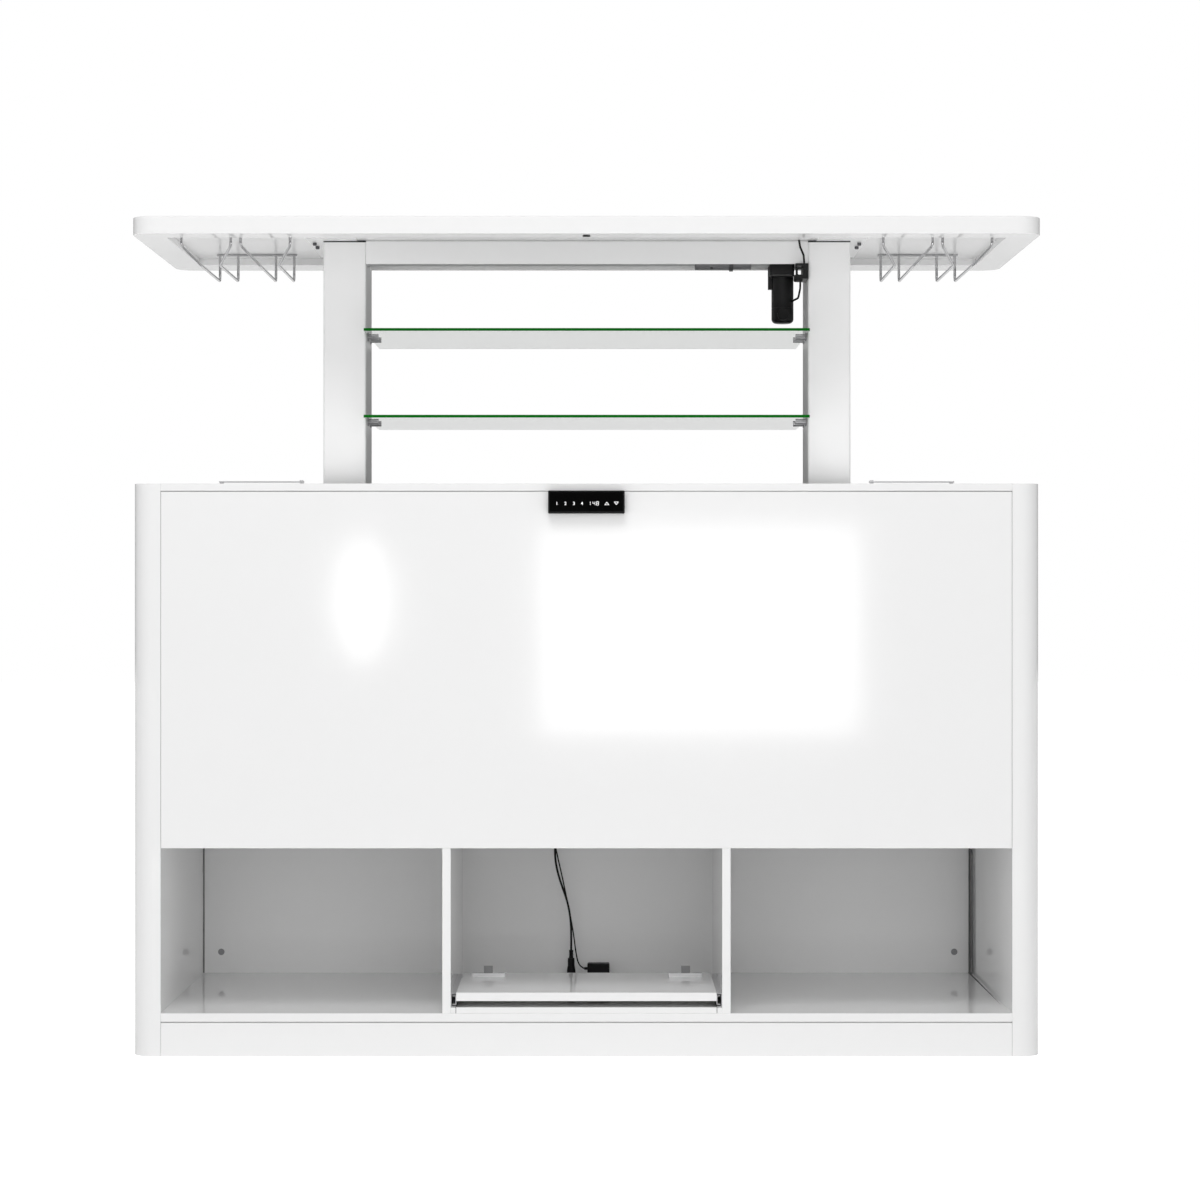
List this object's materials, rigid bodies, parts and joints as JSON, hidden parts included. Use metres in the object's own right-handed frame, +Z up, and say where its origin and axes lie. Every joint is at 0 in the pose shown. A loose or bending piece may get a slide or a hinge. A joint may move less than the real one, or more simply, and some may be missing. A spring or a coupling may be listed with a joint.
{
  "type": "lift-top bar cabinet",
  "caption": "White gloss bar cabinet with a motorised rising counter that carries glass shelves and stemware racks, open cubbies and a pull-out tray.",
  "frame": {"origin": "on the floor, under the middle of the whole cabinet, raised", "axes": "+X along the counter, to the right as the user behind the bar sees it; +Y from the service side to the customer side; +Z up"},
  "size_m": [1.606, 0.621, 1.48],
  "materials": {
    "white_lacquer": "high-gloss white lacquer on board",
    "white_steel": "white powder coat",
    "grey_steel": "dark grey coat",
    "bright_steel": "zinc-plated or brushed steel",
    "dark_steel": "dark plated steel",
    "chrome_wire": "polished chrome",
    "clear_glass": "clear float glass, green edge",
    "black_motor": "satin black",
    "black_plastic": "moulded black plastic",
    "black_gloss": "gloss black with white marks",
    "black_rubber": "soft black",
    "grey_plastic": "grey moulded plastic",
    "bronze": "machined bronze"
  },
  "bodies": {
    "cabinet": {"top_board": "white_lacquer", "service_panel": "white_lacquer", "customer_panel": "white_lacquer", "top_rail": "white_lacquer", "deck": "white_lacquer", "floor_board": "white_lacquer", "plinth_service": "white_lacquer", "plinth_customer": "white_lacquer", "middle_back": "white_lacquer", "cam_covers": "grey_plastic", "screw_nuts": "bronze", "handset_case": "black_plastic", "handset_face": "black_gloss", "control_box": "black_plastic", "cable_grommet": "black_rubber", "power_cord": "black_rubber", "power_plug": "black_plastic", "plug_prongs": "bright_steel", "adapter_lead": "black_rubber", "adapter_box": "black_plastic", "tray_base": "white_lacquer", "end_panel_left": "white_lacquer", "divider_left": "white_lacquer", "side_back_left": "white_lacquer", "rub_strip_left": "bright_steel", "inner_column_left": "grey_steel", "outer_slide_left": "bright_steel", "end_panel_right": "white_lacquer", "divider_right": "white_lacquer", "side_back_right": "white_lacquer", "rub_strip_right": "bright_steel", "inner_column_right": "grey_steel", "outer_slide_right": "bright_steel"},
    "lift": {"counter_top": "white_lacquer", "cross_beam": "white_steel", "drive_motor": "black_motor", "motor_bracket": "black_motor", "motor_leads": "black_rubber", "glass_shelf_upper": "clear_glass", "glass_shelf_lower": "clear_glass", "shelf_clips": "dark_steel", "plate_screws": "dark_steel", "bumpers": "black_rubber", "post_cover_left": "white_steel", "mounting_plate_left": "white_steel", "bevel_box_left": "grey_steel", "stemware_rack_left": "chrome_wire", "post_cover_right": "white_steel", "mounting_plate_right": "white_steel", "bevel_box_right": "grey_steel", "stemware_rack_right": "chrome_wire"},
    "cross_shaft": {"drive_shaft": "bright_steel", "shaft_coupling": "grey_steel"},
    "left_screw": {"lead_screw_left": "bright_steel"},
    "right_screw": {"lead_screw_right": "bright_steel"},
    "tray": {"tray_board": "white_lacquer", "tray_stops": "bright_steel", "inner_slide_left": "bright_steel", "inner_slide_right": "bright_steel"},
    "retainers": {"ball_retainers": "bright_steel"}
  },
  "joints": [
    {"name": "top_lift", "type": "slide", "parent": "cabinet", "child": "lift", "axis": [0, 0, 1], "range_m": [-0.438, 0]},
    {"name": "shaft_turn", "type": "hinge", "parent": "lift", "child": "cross_shaft", "pos_m": [0, -0.0345, 1.428], "axis": [1, 0, 0], "range_deg": [-15770, 0]},
    {"name": "left_screw_turn", "type": "hinge", "parent": "lift", "child": "left_screw", "pos_m": [-0.443, -0.0345, 1.1], "axis": [0, 0, 1], "range_deg": [-15770, 0]},
    {"name": "right_screw_turn", "type": "hinge", "parent": "lift", "child": "right_screw", "pos_m": [0.443, -0.0345, 1.1], "axis": [0, 0, 1], "range_deg": [-15770, 0]},
    {"name": "tray_slide", "type": "slide", "parent": "cabinet", "child": "tray", "axis": [0, -1, 0], "range_m": [0, 0.21]},
    {"name": "retainer_slide", "type": "slide", "parent": "cabinet", "child": "retainers", "axis": [0, -1, 0], "range_m": [0, 0.105]}
  ],
  "couplings": [
    {"joint": "shaft_turn", "follows": "top_lift", "rad_per_m": 628.32},
    {"joint": "left_screw_turn", "follows": "top_lift", "rad_per_m": 628.32},
    {"joint": "right_screw_turn", "follows": "top_lift", "rad_per_m": 628.32},
    {"joint": "retainer_slide", "follows": "tray_slide", "ratio": 0.5}
  ]
}
